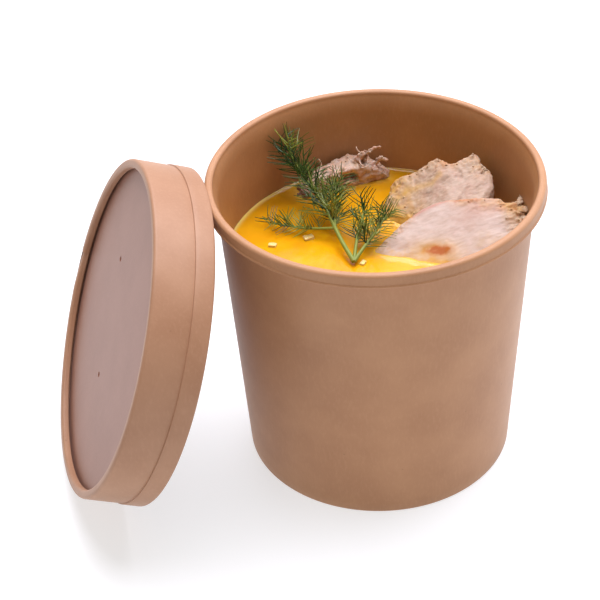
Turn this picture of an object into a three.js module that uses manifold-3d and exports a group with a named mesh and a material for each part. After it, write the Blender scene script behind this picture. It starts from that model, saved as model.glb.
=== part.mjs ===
// A takeaway soup cup of kraft board, open, with its lid leaning against it.
// The cup holds yellow soup up to a level, three pieces of cooked meat and a sprig of dill.
// Millimetres, +Z up. The shapes are made round the cup's axis; the last lines move the whole
// so that the origin is the middle of its footprint, on the table.
import * as THREE from "three";
import { mergeVertices } from "three/addons/utils/BufferGeometryUtils.js";
import Module from "manifold-3d";

const wasm = await Module();
wasm.setup();

// Cup: a standard 12 oz soup cup.
const CUP_HEIGHT = 85.5;
const FOOT_RADIUS = 36.75;
const SHOULDER_RADIUS = 42.0;
const SHOULDER_HEIGHT = 81.7;
const BOARD = 0.5;
const FOOT_FOLD_HEIGHT = 5.5;
const FOOT_INNER_RADIUS = 34.9;
const FOOT_EDGE_ROUND = 0.45;
const ROLL_RADIUS = 1.6;
const ROLL_OUTER_RADIUS = 45.0;
const BASE_THICKNESS = 0.6;

// Lid: a wound skirt with a hem at its open edge, and a panel sunk in its top bead.
const LID_HEIGHT = 16.0;
const LID_RADIUS = 45.9;
const LID_CORNER = 1.6;
const LID_BOARD = 0.45;
const HEM_RADIUS = 46.2;
const HEM_HEIGHT = 5.2;
const HEM_INNER_RADIUS = 45.2;
const HEM_STEP = 0.15;
const BEAD_INNER_RADIUS = 43.4;
const BEAD_INNER_ROUND = 0.5;
const PANEL_DEPTH = 2.55;
const SLOT_INNER_RADIUS = 44.35;
const SLOT_CORNER = 1.2;
const LID_LEAN = THREE.MathUtils.degToRad(20.33);
const LID_STAND_OFF = 59.9;
const VENT_RADIUS = 0.6;
const VENTS = [new THREE.Vector2(13.9, 13.3), new THREE.Vector2(-15.3, -0.4)];

// Contents.
const SOUP_LEVEL = 61.0;
const GAP = 0.3;
const BIT_HEIGHT = 1.6;
const MEAT_COLUMNS = 44;
const STRAND_SIDES = 5;
const STEM_SIDES = 4;
const NEEDLE_RADIUS = 0.36;
const AROUND = 48;
const GOLDEN_ANGLE = Math.PI * (3 - Math.sqrt(5));

const KRAFT = { color: 0xb08468, roughness: 0.85, metalness: 0 };
const KRAFT_PANEL = { color: 0xb49488, roughness: 0.85, metalness: 0 };
const SOUP = { color: 0xf5b21a, roughness: 0.25, metalness: 0 };
const MEAT = { color: 0xd8c2b0, roughness: 0.6, metalness: 0 };
const DILL = { color: 0x4f7a34, roughness: 0.6, metalness: 0 };

/** Inner radius of the cup's board at a height. */
function innerRadius(z) {
  return FOOT_RADIUS + ((SHOULDER_RADIUS - FOOT_RADIUS) * z) / SHOULDER_HEIGHT - BOARD;
}

/** A seeded stream of numbers from 0 to 1. */
function drawer(seed) {
  let state = seed >>> 0;
  return () => {
    state = (state + 0x6d2b79f5) >>> 0;
    let t = state;
    t = Math.imul(t ^ (t >>> 15), t | 1);
    t ^= t + Math.imul(t ^ (t >>> 7), t | 61);
    return ((t ^ (t >>> 14)) >>> 0) / 4294967296;
  };
}

/** A closed three.js geometry, or a set of them joined, as a manifold solid. */
function solid(geometry) {
  const bare = geometry.clone();
  bare.deleteAttribute("normal");
  bare.deleteAttribute("uv");
  const merged = mergeVertices(bare, 1e-4);
  return new wasm.Manifold(
    new wasm.Mesh({
      numProp: 3,
      vertProperties: new Float32Array(merged.attributes.position.array),
      triVerts: new Uint32Array(merged.index.array),
    })
  );
}

/** The solid's triangles as a geometry: its largest body, without scraps and sealed hollows. */
function surface(body) {
  const bodies = body.decompose();
  const largest = bodies.reduce((best, other) => (other.volume() > best.volume() ? other : best));
  const mesh = largest.getMesh();
  const geometry = new THREE.BufferGeometry();
  geometry.setAttribute("position", new THREE.BufferAttribute(mesh.vertProperties, 3));
  geometry.setIndex(new THREE.BufferAttribute(mesh.triVerts, 1));
  return geometry;
}

/** A closed profile, radius and height, running up its outer side, turned about +Z. */
function turned(profile, around = AROUND) {
  const closed = [...profile, profile[0]];
  return new THREE.LatheGeometry(closed, around).rotateX(Math.PI / 2);
}

/** Points on an arc of a circle in the profile's plane, angles in degrees. */
function arc(centreR, centreZ, radius, from, to, steps) {
  const points = [];
  for (let i = 0; i <= steps; i += 1) {
    const a = THREE.MathUtils.degToRad(from + ((to - from) * i) / steps);
    points.push(new THREE.Vector2(centreR + radius * Math.cos(a), centreZ + radius * Math.sin(a)));
  }
  return points;
}

const at = (r, z) => new THREE.Vector2(r, z);

/** The tapered board wall, its rim roll and its folded foot, as one wound piece. */
function cupWall() {
  const rollR = ROLL_OUTER_RADIUS - ROLL_RADIUS;
  const topZ = CUP_HEIGHT - ROLL_RADIUS;
  const lowZ = SHOULDER_HEIGHT + ROLL_RADIUS;
  const outer = (z) => innerRadius(z) + BOARD;
  const profile = [
    at(FOOT_INNER_RADIUS + FOOT_EDGE_ROUND, 0),
    at(FOOT_RADIUS - FOOT_EDGE_ROUND, 0),
    at(outer(FOOT_EDGE_ROUND), FOOT_EDGE_ROUND),
    at(outer(SHOULDER_HEIGHT), SHOULDER_HEIGHT),
    ...arc(rollR, lowZ, ROLL_RADIUS, 235, 360, 4),
    ...arc(rollR, topZ, ROLL_RADIUS, 0, 165, 6),
    at(innerRadius(lowZ), lowZ),
    at(innerRadius(FOOT_FOLD_HEIGHT), FOOT_FOLD_HEIGHT),
    at(FOOT_INNER_RADIUS, FOOT_FOLD_HEIGHT),
    at(FOOT_INNER_RADIUS, FOOT_EDGE_ROUND),
  ];
  return turned(profile);
}

/** The round base on top of the folded foot. */
function cupBase() {
  const bottom = FOOT_FOLD_HEIGHT + GAP;
  const radius = innerRadius(bottom) - GAP;
  const disc = new THREE.CylinderGeometry(radius, radius, BASE_THICKNESS, AROUND);
  return disc.rotateX(Math.PI / 2).translate(0, 0, bottom + BASE_THICKNESS / 2);
}

/** The lid's skirt: hem, wall, and the top bead with the slot that holds the panel's edge. */
function lidRing() {
  const inner = LID_RADIUS - LID_BOARD;
  const slotTop = LID_HEIGHT - LID_BOARD;
  const foldBottom = LID_HEIGHT - PANEL_DEPTH + GAP;
  const profile = [
    at(HEM_INNER_RADIUS, 0),
    at(HEM_RADIUS, 0),
    at(HEM_RADIUS, HEM_HEIGHT - HEM_STEP),
    at(LID_RADIUS, HEM_HEIGHT),
    ...arc(LID_RADIUS - LID_CORNER, LID_HEIGHT - LID_CORNER, LID_CORNER, 0, 90, 4),
    ...arc(
      BEAD_INNER_RADIUS + BEAD_INNER_ROUND,
      LID_HEIGHT - BEAD_INNER_ROUND,
      BEAD_INNER_ROUND,
      90,
      180,
      2
    ),
    at(BEAD_INNER_RADIUS, foldBottom),
    at(SLOT_INNER_RADIUS, foldBottom),
    at(SLOT_INNER_RADIUS, slotTop - GAP),
    at(inner - GAP, slotTop - GAP),
    at(inner, slotTop - SLOT_CORNER),
    at(inner, HEM_HEIGHT),
    at(HEM_INNER_RADIUS, HEM_HEIGHT - HEM_STEP),
  ];
  return turned(profile);
}

/** The lid's round panel with its edge turned up into the bead's slot, and two vent holes. */
function lidPanel() {
  const top = LID_HEIGHT - PANEL_DEPTH;
  const under = top - LID_BOARD;
  const flangeInner = SLOT_INNER_RADIUS + GAP;
  const flangeOuter = LID_RADIUS - LID_BOARD - GAP;
  const flangeTop = LID_HEIGHT - LID_BOARD - SLOT_CORNER;
  const profile = [
    at(0, under),
    at(flangeOuter, under),
    at(flangeOuter, flangeTop),
    at(flangeInner, flangeTop),
    at(flangeInner, top),
    at(0, top),
  ];
  let panel = solid(new THREE.LatheGeometry(profile, AROUND).rotateX(Math.PI / 2));
  for (const place of VENTS) {
    const drill = new THREE.CylinderGeometry(VENT_RADIUS, VENT_RADIUS, 4 * LID_BOARD, 10);
    drill.rotateX(Math.PI / 2).translate(place.x, place.y, top - LID_BOARD / 2);
    panel = panel.subtract(solid(drill));
  }
  return surface(panel);
}

/** Smooth noise from -1 to 1 on a unit lattice, a different one for each seed. */
function noise(x, y, z, seed) {
  const corner = (i, j, k) => {
    let h = Math.imul(i, 374761393) ^ Math.imul(j, 668265263) ^ Math.imul(k, 2147483647) ^ seed;
    h = Math.imul(h ^ (h >>> 13), 1274126177);
    return ((h ^ (h >>> 16)) >>> 0) / 2147483648 - 1;
  };
  const cell = [Math.floor(x), Math.floor(y), Math.floor(z)];
  const ease = (t) => t * t * (3 - 2 * t);
  const [u, v, w] = [ease(x - cell[0]), ease(y - cell[1]), ease(z - cell[2])];
  let sum = 0;
  for (const [i, a] of [[0, 1 - u], [1, u]]) {
    for (const [j, b] of [[0, 1 - v], [1, v]]) {
      for (const [k, c] of [[0, 1 - w], [1, w]]) {
        sum += a * b * c * corner(cell[0] + i, cell[1] + j, cell[2] + k);
      }
    }
  }
  return sum;
}

/** A slice's cross-section, from the middle of its underside, out and up, to the middle of its top. */
const SLAB_SECTION = [
  { level: 0.6, lift: -1 },
  { level: 0.9, lift: -0.92 },
  { level: 0.98, lift: -0.6 },
  { level: 1, lift: -0.15 },
  { level: 1, lift: 0.3 },
  { level: 1, lift: 0.66 },
  { level: 0.975, lift: 0.9 },
  { level: 0.91, lift: 0.99 },
  { level: 0.76, lift: 1 },
  { level: 0.54, lift: 1 },
  { level: 0.28, lift: 1 },
];

/**
 * A torn slice of meat: an outline seen from above, the height of its face, a thickness, and
 * fibres that run one way. Grown by a margin, it is the room that it takes in its neighbours.
 */
function meatSlice(slice, margin = 0) {
  const { middle, outline, face, thick, fibre, rough, seed } = slice;
  const corners = outline.map(([x, y]) => new THREE.Vector3(x, y, 0));
  const edge = new THREE.CatmullRomCurve3(corners, true, "centripetal");
  const rim = edge.getSpacedPoints(MEAT_COLUMNS).slice(0, MEAT_COLUMNS);
  const positions = [];
  const vertex = (rimPoint, level, lift) => {
    const reach = new THREE.Vector2(rimPoint.x - middle.x, rimPoint.y - middle.y);
    const outward = reach.clone().normalize();
    const x = middle.x + level * (reach.x + margin * outward.x);
    const y = middle.y + level * (reach.y + margin * outward.y);
    const half = thick / 2 + margin;
    const z = face(x, y) + margin - half + half * lift;
    const along = (x * Math.cos(fibre) + y * Math.sin(fibre)) / 9;
    const across = (-x * Math.sin(fibre) + y * Math.cos(fibre)) / 3.2;
    const grain = noise(along, across, z / 4, seed) * rough;
    const fine = noise(along * 3.1, across * 2.3, z / 2, seed + 7) * rough * 0.45;
    const push = grain + fine;
    const spot = new THREE.Vector3(x, y, z + 0.5 * push * Math.sign(lift));
    spot.x += push * outward.x * level;
    spot.y += push * outward.y * level;
    const room = innerRadius(spot.z) - GAP;
    const inside = Math.min(1, room / Math.hypot(spot.x, spot.y));
    positions.push(spot.x * inside, spot.y * inside, spot.z);
  };
  vertex(rim[0], 0, -1);
  for (const { level, lift } of SLAB_SECTION) {
    for (const point of rim) {
      vertex(point, level, lift);
    }
  }
  vertex(rim[0], 0, 1);
  const last = positions.length / 3 - 1;
  const index = [];
  for (let i = 0; i < MEAT_COLUMNS; i += 1) {
    const next = (i + 1) % MEAT_COLUMNS;
    index.push(0, 1 + next, 1 + i);
    for (let j = 0; j < SLAB_SECTION.length - 1; j += 1) {
      const low = 1 + j * MEAT_COLUMNS;
      const high = low + MEAT_COLUMNS;
      index.push(low + i, low + next, high + next);
      index.push(low + i, high + next, high + i);
    }
    const ring = last - MEAT_COLUMNS;
    index.push(ring + i, ring + next, last);
  }
  const geometry = new THREE.BufferGeometry();
  geometry.setAttribute("position", new THREE.Float32BufferAttribute(positions, 3));
  geometry.setIndex(index);
  return solid(geometry);
}

/** A bent strand that thins from its root to its tip, closed at both ends. */
function strand(path, thick, thin, steps, sides) {
  const frames = path.computeFrenetFrames(steps, false);
  const positions = [];
  const index = [];
  for (let i = 0; i <= steps; i += 1) {
    const centre = path.getPointAt(i / steps);
    const radius = thick + ((thin - thick) * i) / steps;
    for (let k = 0; k < sides; k += 1) {
      const turn = (2 * Math.PI * k) / sides;
      const spot = centre.clone();
      spot.addScaledVector(frames.normals[i], radius * Math.cos(turn));
      spot.addScaledVector(frames.binormals[i], radius * Math.sin(turn));
      positions.push(spot.x, spot.y, spot.z);
      if (i < steps) {
        const [low, next] = [i * sides + k, i * sides + ((k + 1) % sides)];
        index.push(low, next, next + sides, low, next + sides, low + sides);
      }
    }
  }
  const end = steps * sides;
  for (let k = 1; k < sides - 1; k += 1) {
    index.push(0, k + 1, k, end, end + k, end + k + 1);
  }
  const geometry = new THREE.BufferGeometry();
  geometry.setAttribute("position", new THREE.Float32BufferAttribute(positions, 3));
  geometry.setIndex(index);
  return geometry;
}

/** Torn strands of meat, each through its points, joined to the slice that they hang from. */
function withStrands(slice, paths, thick, thin) {
  return paths.reduce((whole, points) => {
    const path = new THREE.CatmullRomCurve3(points.map((p) => new THREE.Vector3(...p)));
    return whole.add(solid(strand(path, thick, thin, 6, STRAND_SIDES)));
  }, slice);
}

/** A tapered rod between two points, closed at both ends. */
function rod(from, to, fromRadius, toRadius, sides) {
  const way = new THREE.Vector3().subVectors(to, from);
  const bar = new THREE.CylinderGeometry(toRadius, fromRadius, way.length(), sides);
  bar.translate(0, way.length() / 2, 0);
  const turn = new THREE.Quaternion().setFromUnitVectors(
    new THREE.Vector3(0, 1, 0),
    way.clone().normalize()
  );
  return bar.applyQuaternion(turn).translate(from.x, from.y, from.z);
}

/** The long slice in front: its left end dips into the soup, its right end lies up the wall. */
const SLICE_FRONT = {
  middle: new THREE.Vector2(18, -4),
  outline: [
    [38.5, -5],
    [36.8, -1.2],
    [31.8, 3],
    [26, 5.2],
    [19.1, 6.6],
    [12.3, 5.7],
    [5.2, 3.4],
    [-1.8, -0.3],
    [-2.5, -4],
    [2, -9],
    [9, -14],
    [17, -19],
    [26, -21],
    [34, -15],
  ],
  face: (x, y) => 61.2 + 0.277 * (x + 1.8) + 0.5 * (y + 0.3),
  thick: 12,
  fibre: THREE.MathUtils.degToRad(12),
  rough: 0.6,
  seed: 11,
};

/** The thick slab behind it, highest at its right corner; its left part falls into the soup. */
const SLICE_RIGHT = {
  middle: new THREE.Vector2(20, 14),
  outline: [
    [34.8, 8],
    [35, 12],
    [34, 16.5],
    [33.2, 20],
    [29.5, 19],
    [25.5, 19],
    [22.3, 22],
    [15.8, 22.2],
    [10, 23],
    [8.8, 20.2],
    [5.5, 17.8],
    [5, 14],
    [9, 9.5],
    [14, 6],
    [22, 4.5],
    [30, 4.5],
  ],
  face: (x, y) => 68.4 + 0.41 * (y - 8) + 0.2 * (x - 20) - 0.42 * Math.max(0, 22 - x),
  thick: 15,
  fibre: THREE.MathUtils.degToRad(35),
  rough: 0.65,
  seed: 23,
};

/** The narrow torn piece at the back, against the wall. */
const SLICE_LEFT = {
  middle: new THREE.Vector2(-2, 34.8),
  outline: [
    [12, 35.6],
    [10.4, 37.4],
    [5, 39.2],
    [-1, 39.4],
    [-7, 38.4],
    [-13, 36.6],
    [-17.4, 33.6],
    [-17.8, 31.4],
    [-14.3, 29.2],
    [-8, 31],
    [0.4, 31.8],
    [6, 32.6],
    [10.4, 33.6],
  ],
  face: (x) => 67.4 - (x > 2 ? 0.05 : 0.02) * (x - 2) ** 2,
  thick: 15,
  fibre: THREE.MathUtils.degToRad(20),
  rough: 0.6,
  seed: 31,
};

const FRONT_STRANDS = [
  [[36, -4, 67.5], [37.6, -3.6, 71], [38.9, -4, 73.6], [39.4, -4.6, 75.6]],
  [[35.6, -0.5, 68.5], [37.4, 0.6, 71], [38.6, 1.8, 72.4], [39.2, 3, 73]],
  [[35.8, -7.5, 66.5], [37.8, -8, 70], [38.6, -8.6, 72.4], [38.9, -8.4, 74]],
];

const LEFT_STRANDS = [
  [[4, 35, 65], [4.8, 34.6, 69], [6, 34, 71.6], [8.9, 33, 73.2]],
  [[1.8, 35.4, 65], [2.4, 35, 68], [3.2, 34.6, 70], [4.2, 34.4, 71]],
  [[6.6, 35.4, 64], [8, 35, 67], [9.8, 34.4, 68], [11, 33.8, 67]],
];

const meatFront = withStrands(meatSlice(SLICE_FRONT), FRONT_STRANDS, 1.5, 0.7);
const meatRight = meatSlice(SLICE_RIGHT).subtract(meatSlice(SLICE_FRONT, GAP));
const meatLeft = withStrands(meatSlice(SLICE_LEFT), LEFT_STRANDS, 1.2, 0.6);
const meatRoom = meatSlice(SLICE_FRONT, GAP)
  .add(meatSlice(SLICE_RIGHT, GAP))
  .add(meatSlice(SLICE_LEFT, GAP));

/** The soup up to its level, cut round the meat, with the small pale bits that float on it. */
function soupBody() {
  const bottom = FOOT_FOLD_HEIGHT + GAP + BASE_THICKNESS + GAP;
  const profile = [
    at(0, bottom),
    at(innerRadius(bottom) - GAP, bottom),
    at(innerRadius(SOUP_LEVEL) - GAP, SOUP_LEVEL),
    at(0, SOUP_LEVEL),
  ];
  let body = solid(new THREE.LatheGeometry(profile, AROUND).rotateX(Math.PI / 2));
  body = body.subtract(meatRoom);
  const bits = [
    { x: -16.6, y: 9.3, length: 2.8, width: 1.8, turn: 0.2 },
    { x: -26.7, y: 8.6, length: 2.2, width: 1.4, turn: -0.4 },
    { x: -4.6, y: -4.2, length: 2.0, width: 1.3, turn: 0.9 },
  ];
  for (const bit of bits) {
    const cube = new THREE.BoxGeometry(bit.length, bit.width, BIT_HEIGHT);
    cube.rotateZ(bit.turn).translate(bit.x, bit.y, SOUP_LEVEL + 0.1);
    body = body.add(solid(cube));
  }
  return body;
}

/** Whether a thin solid is clear of the soup, the cup's wall and the room the meat takes. */
function isClear(geometry) {
  const spots = geometry.attributes.position;
  for (let i = 0; i < spots.count; i += 1) {
    const radius = Math.hypot(spots.getX(i), spots.getY(i));
    const height = spots.getZ(i);
    if (height < SOUP_LEVEL + GAP || radius > innerRadius(height) - GAP) {
      return false;
    }
  }
  return solid(geometry).intersect(meatRoom).isEmpty();
}

/** One branch of the sprig: its stem, with needles all along the part past its bare root. */
function branch(points, thick, thin, bare, needles, longest, seed) {
  const draw = drawer(seed);
  const path = new THREE.CatmullRomCurve3(points.map((p) => new THREE.Vector3(...p)));
  let whole = solid(strand(path, thick, thin, 2 * points.length, STEM_SIDES));
  for (let i = 0; i < needles; i += 1) {
    const t = bare + (1 - bare) * ((i + 0.5) / needles);
    const root = path.getPointAt(t);
    const ahead = path.getTangentAt(t);
    const round = i * GOLDEN_ANGLE + draw() * 0.7;
    const side = new THREE.Vector3(Math.cos(round), Math.sin(round), 0.55).normalize();
    const way = ahead.clone().multiplyScalar(0.75).add(side).normalize();
    const full = longest * (0.7 + 0.3 * draw()) * (1 - 0.25 * t);
    for (const part of [1, 0.72, 0.48]) {
      const tip = root.clone().addScaledVector(way, full * part);
      const needle = rod(root, tip, NEEDLE_RADIUS, 0, 3);
      const free = rod(root.clone().addScaledVector(way, thick + 0.7), tip, 0.5, 0.2, 3);
      if (isClear(needle) && solid(free).intersect(whole).isEmpty()) {
        whole = whole.add(solid(needle));
        break;
      }
    }
  }
  return whole;
}

/** The sprig of dill: branches from one cut end, the longest leaning on the cup's wall. */
function dillSprig() {
  const cut = [-7.1, -4.9, 62.4];
  const main = [cut, [-8.4, 0.1, 63.6], [-9.5, 7.3, 65], [-10.5, 15.8, 66.8], [-12.7, 23.7, 69]];
  main.push([-15, 29.2, 72], [-16.5, 33.4, 76], [-16.7, 35.4, 79]);
  const right = [cut, [-4.4, -1.9, 63.5], [-0.4, 2, 65], [4.5, 6.9, 67.6]];
  const middle = [cut, [-5.6, 0, 64], [-3.1, 6.6, 66], [-0.3, 13.4, 68]];
  const centre = [[-9.6, 7.8, 65.1], [-7.4, 14, 67.5], [-5.8, 19.9, 69.5], [-4.5, 24.2, 71.5]];
  const left = [[-9.6, 8, 65.1], [-15.8, 10.3, 63.6], [-22.1, 13.8, 62.8], [-28.5, 18.8, 62.4]];
  return branch(main, 0.75, 0.3, 0.3, 46, 9, 4)
    .add(branch(right, 0.6, 0.28, 0.25, 16, 7.5, 5))
    .add(branch(middle, 0.55, 0.28, 0.3, 14, 7.5, 8))
    .add(branch(centre, 0.45, 0.25, 0.1, 16, 7.5, 17))
    .add(branch(left, 0.42, 0.25, 0.1, 18, 6.5, 13));
}

/** A named piece of the object. */
function piece(name, geometry, look) {
  const mesh = new THREE.Mesh(geometry, new THREE.MeshStandardMaterial(look));
  mesh.name = name;
  return mesh;
}

const object = new THREE.Group();
object.add(piece("cup_wall", cupWall(), KRAFT));
object.add(piece("cup_base", cupBase(), KRAFT));
object.add(piece("soup", surface(soupBody()), SOUP));
object.add(piece("meat_front", surface(meatFront), MEAT));
object.add(piece("meat_back_right", surface(meatRight), MEAT));
object.add(piece("meat_back_left", surface(meatLeft), MEAT));
object.add(piece("dill", surface(dillSprig()), DILL));

// The lid stands on its open edge and leans back, its hem on the cup's rim roll.
const lid = new THREE.Group();
lid.add(piece("lid_ring", lidRing(), KRAFT));
lid.add(piece("lid_panel", lidPanel(), KRAFT_PANEL));
lid.rotation.y = LID_LEAN - Math.PI / 2;
lid.position.set(-LID_STAND_OFF, 0, HEM_RADIUS * Math.cos(LID_LEAN));
object.add(lid);

const box = new THREE.Box3().setFromObject(object, true);
const middle = box.getCenter(new THREE.Vector3());
object.position.set(-middle.x, -middle.y, -box.min.z);

export default object;
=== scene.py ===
"""A takeaway soup cup of kraft board, its lid leaning on it, with soup, cooked meat and dill."""

import math

import bmesh
import bpy
import numpy as np
from mathutils import Matrix, Vector, noise
from mathutils.bvhtree import BVHTree


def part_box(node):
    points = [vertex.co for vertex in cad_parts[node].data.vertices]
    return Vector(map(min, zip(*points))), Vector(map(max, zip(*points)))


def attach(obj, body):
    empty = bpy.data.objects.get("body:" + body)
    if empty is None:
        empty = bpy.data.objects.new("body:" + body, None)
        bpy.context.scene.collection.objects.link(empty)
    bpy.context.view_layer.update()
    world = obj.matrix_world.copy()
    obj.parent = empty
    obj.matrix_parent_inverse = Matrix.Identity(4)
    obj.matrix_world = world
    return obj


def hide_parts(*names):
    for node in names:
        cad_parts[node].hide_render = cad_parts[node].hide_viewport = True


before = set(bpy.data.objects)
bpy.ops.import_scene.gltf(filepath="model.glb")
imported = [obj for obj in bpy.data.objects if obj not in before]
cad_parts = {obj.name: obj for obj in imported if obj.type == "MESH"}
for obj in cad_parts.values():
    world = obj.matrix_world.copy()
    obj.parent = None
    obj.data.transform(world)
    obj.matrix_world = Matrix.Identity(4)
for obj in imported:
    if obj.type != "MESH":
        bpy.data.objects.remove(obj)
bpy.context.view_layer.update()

MM = 0.001
CUP_AXIS = sum(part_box("cup_wall"), Vector()) / 2

# Cup, in millimetres round its axis and up from the table
CUP_HEIGHT = 85.5
FOOT_RADIUS = 36.75
SHOULDER_RADIUS = 42.0
SHOULDER_HEIGHT = 81.7
CUP_BOARD = 0.5
FOOT_FOLD = 5.5
FOOT_INNER = 34.9
ROLL_OUTER = 45.0
ROLL_WIDTH = 2.45
FLOOR_LOW = 5.7
FLOOR_THICK = 0.7
CUP_STEPS = 192
CUP_SEAM = math.radians(80)
CUP_SEAM_STEP = 0.3
SEAM_FADE = math.radians(14)

# Lid, in millimetres along and round its own axis from the open edge
LID_HEIGHT = 16.0
LID_RADIUS = 45.9
LID_CORNER = 0.85
LID_BOARD = 0.45
HEM_RADIUS = 46.2
HEM_HEIGHT = 5.2
HEM_BOARD = 1.0
BEAD_INNER = 43.4
PANEL_DEPTH = 2.55
CREVICE = 0.7
LID_LEAN = math.radians(20.33)
LID_STAND_OFF = 59.9
LID_STEPS = 288
LID_SEAM = math.radians(97)
LID_SEAM_STEP = 0.5
VENTS = ((13.9, 13.3), (-15.3, -0.4))
VENT_RADIUS = 0.8

# Contents, in millimetres
SOUP_LEVEL = 61.0
MEAT_GRAIN = 0.3
MEAT_VOXEL = 0.32
MEAT_CLEARANCE = 0.1
CRUMBS_PER_MM2 = 0.16
CRUMB_SIZE = 0.8
THREAD_LENGTH = 2.2
DROOP_FROM = 70.0
TUFT_DROOP = 0.8
TUFT_SLUMP = 2.2
WISP_FROM = 69.0
WISP_DROOP = 0.1
SPRIG_CLEARANCE = 0.25
SPRIG_LIFT = 0.4
NEEDLE_CLEARANCE = 0.15
NEEDLE_SEARCH = 4
BITS = ((-16.4, 10.6, 2.8, 1.9, 0.2), (-26.7, 9.4, 2.2, 1.5, -0.4), (-4.6, -4.6, 2.0, 1.3, 0.9))

# Camera, with its place in millimetres round the cup's axis, and the studio's light
CAMERA_LENS = 114
CAMERA_PLACE = (-87.3, -407.1, 358.2)
CAMERA_LIFT = math.radians(36.9)
CAMERA_TURN = math.radians(-9.2)
CAMERA_ROLL = math.radians(-2.75)
TABLE_HALF = 1.5
TABLE_GLOW = 0.62
ROOM_LIGHT = 0.37


def wall_inside(z):
    """Inner radius of the cup's board at a height."""
    return FOOT_RADIUS + (SHOULDER_RADIUS - FOOT_RADIUS) * z / SHOULDER_HEIGHT - CUP_BOARD


def in_cup(x, y, z):
    """A place round the cup's axis, from millimetres to metres in the frame."""
    return Vector((CUP_AXIS.x + x * MM, CUP_AXIS.y + y * MM, z * MM))


def put_in_scene(name, mesh):
    """A mesh as an object at the origin."""
    made = bpy.data.objects.new(name, mesh)
    bpy.context.scene.collection.objects.link(made)
    return made


def settle(made):
    """Turns what a piece's modifiers make into its plain mesh."""
    view = bpy.context.evaluated_depsgraph_get()
    mesh = bpy.data.meshes.new_from_object(made.evaluated_get(view))
    mesh.name = made.name
    made.modifiers.clear()
    made.data = mesh
    return mesh


def smooth(made, angle=40):
    """Shades a piece smooth but for edges sharper than an angle in degrees."""
    made.data.shade_smooth()
    made.data.set_sharp_from_angle(angle=math.radians(angle))


def hex_colour(code):
    """An sRGB hex colour as linear red, green, blue and alpha."""
    parts = [int(code[i : i + 2], 16) / 255 for i in (1, 3, 5)]
    return [p / 12.92 if p <= 0.04045 else ((p + 0.055) / 1.055) ** 2.4 for p in parts] + [1.0]


def add(tree, kind, inputs=None, **settings):
    """A node in a tree, with its settings and with values or links for its inputs."""
    node = tree.nodes.new(kind)
    for key, value in settings.items():
        setattr(node, key, value)
    for key, value in (inputs or {}).items():
        if isinstance(value, bpy.types.NodeSocket):
            tree.links.new(value, node.inputs[key])
        else:
            node.inputs[key].default_value = value
    return node


def finish_named(name, roughness, **shader_inputs):
    """A new material, its tree and its shader, joined to the output."""
    finish = bpy.data.materials.new(name)
    finish.use_nodes = True
    tree = finish.node_tree
    tree.nodes.clear()
    shader = add(tree, "ShaderNodeBsdfPrincipled", {"Roughness": roughness})
    for key, value in shader_inputs.items():
        shader.inputs[key.replace("_", " ")].default_value = value
    add(tree, "ShaderNodeOutputMaterial", {"Surface": shader.outputs[0]})
    return finish, tree, shader


def blend_colours(tree, share, first, second):
    """Two colours mixed by a share: sockets or hex codes."""
    ends = [hex_colour(c) if isinstance(c, str) else c for c in (first, second)]
    mixed = add(tree, "ShaderNodeMix", {0: share, 6: ends[0], 7: ends[1]}, data_type="RGBA")
    return mixed.outputs[2]


def kraft_board(name, light, dark, fibre, roughness=0.5, lining=False):
    """Unbleached kraft paperboard, rolled and calendered: matt with a faint bloom at the sides.

    Its colour is cloudy, with fibres and a few dark specks of bark. The cup's inside is lined
    with a thin film, which gives it a dull shine.
    """
    finish, tree, shader = finish_named(
        name,
        roughness,
        IOR=1.5,
        Specular_IOR_Level=0.4,
        Sheen_Weight=0.0 if lining else 0.06,
        Sheen_Roughness=0.4,
    )
    place = add(tree, "ShaderNodeTexCoord").outputs["Object"]
    cloud = add(
        tree, "ShaderNodeTexNoise", {"Vector": place, "Scale": 1 / (13 * MM), "Detail": 4.0}
    )
    share = add(tree, "ShaderNodeMapRange", {0: cloud.outputs[0], 1: 0.32, 2: 0.68})
    base = blend_colours(tree, share.outputs[0], light, dark)
    # fibres are 2 to 3 mm long and too thin to show, so they are drawn 0.3 mm wide
    turned = add(tree, "ShaderNodeMapping", {"Vector": place, "Scale": (1.0, 1.0, 0.35)})
    strand = add(
        tree,
        "ShaderNodeTexNoise",
        {"Vector": turned.outputs[0], "Scale": 1 / (0.7 * MM), "Detail": 4.0, "Roughness": 0.6},
    )
    strands = add(tree, "ShaderNodeMapRange", {0: strand.outputs[0], 1: 0.48, 2: 0.75, 4: 0.35})
    base = blend_colours(tree, strands.outputs[0], base, fibre)
    fleck = add(tree, "ShaderNodeTexVoronoi", {"Vector": place, "Scale": 1 / (7 * MM)})
    speck = add(
        tree, "ShaderNodeMapRange", {0: fleck.outputs["Distance"], 1: 0.02, 2: 0.05, 3: 0.3, 4: 0.0}
    )
    base = blend_colours(tree, speck.outputs[0], base, "#6A4A30")
    tree.links.new(base, shader.inputs["Base Color"])
    grain = add(
        tree,
        "ShaderNodeBump",
        {"Height": strand.outputs[0], "Strength": 0.22, "Distance": 0.05 * MM},
    )
    tree.links.new(grain.outputs[0], shader.inputs["Normal"])
    return finish


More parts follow.
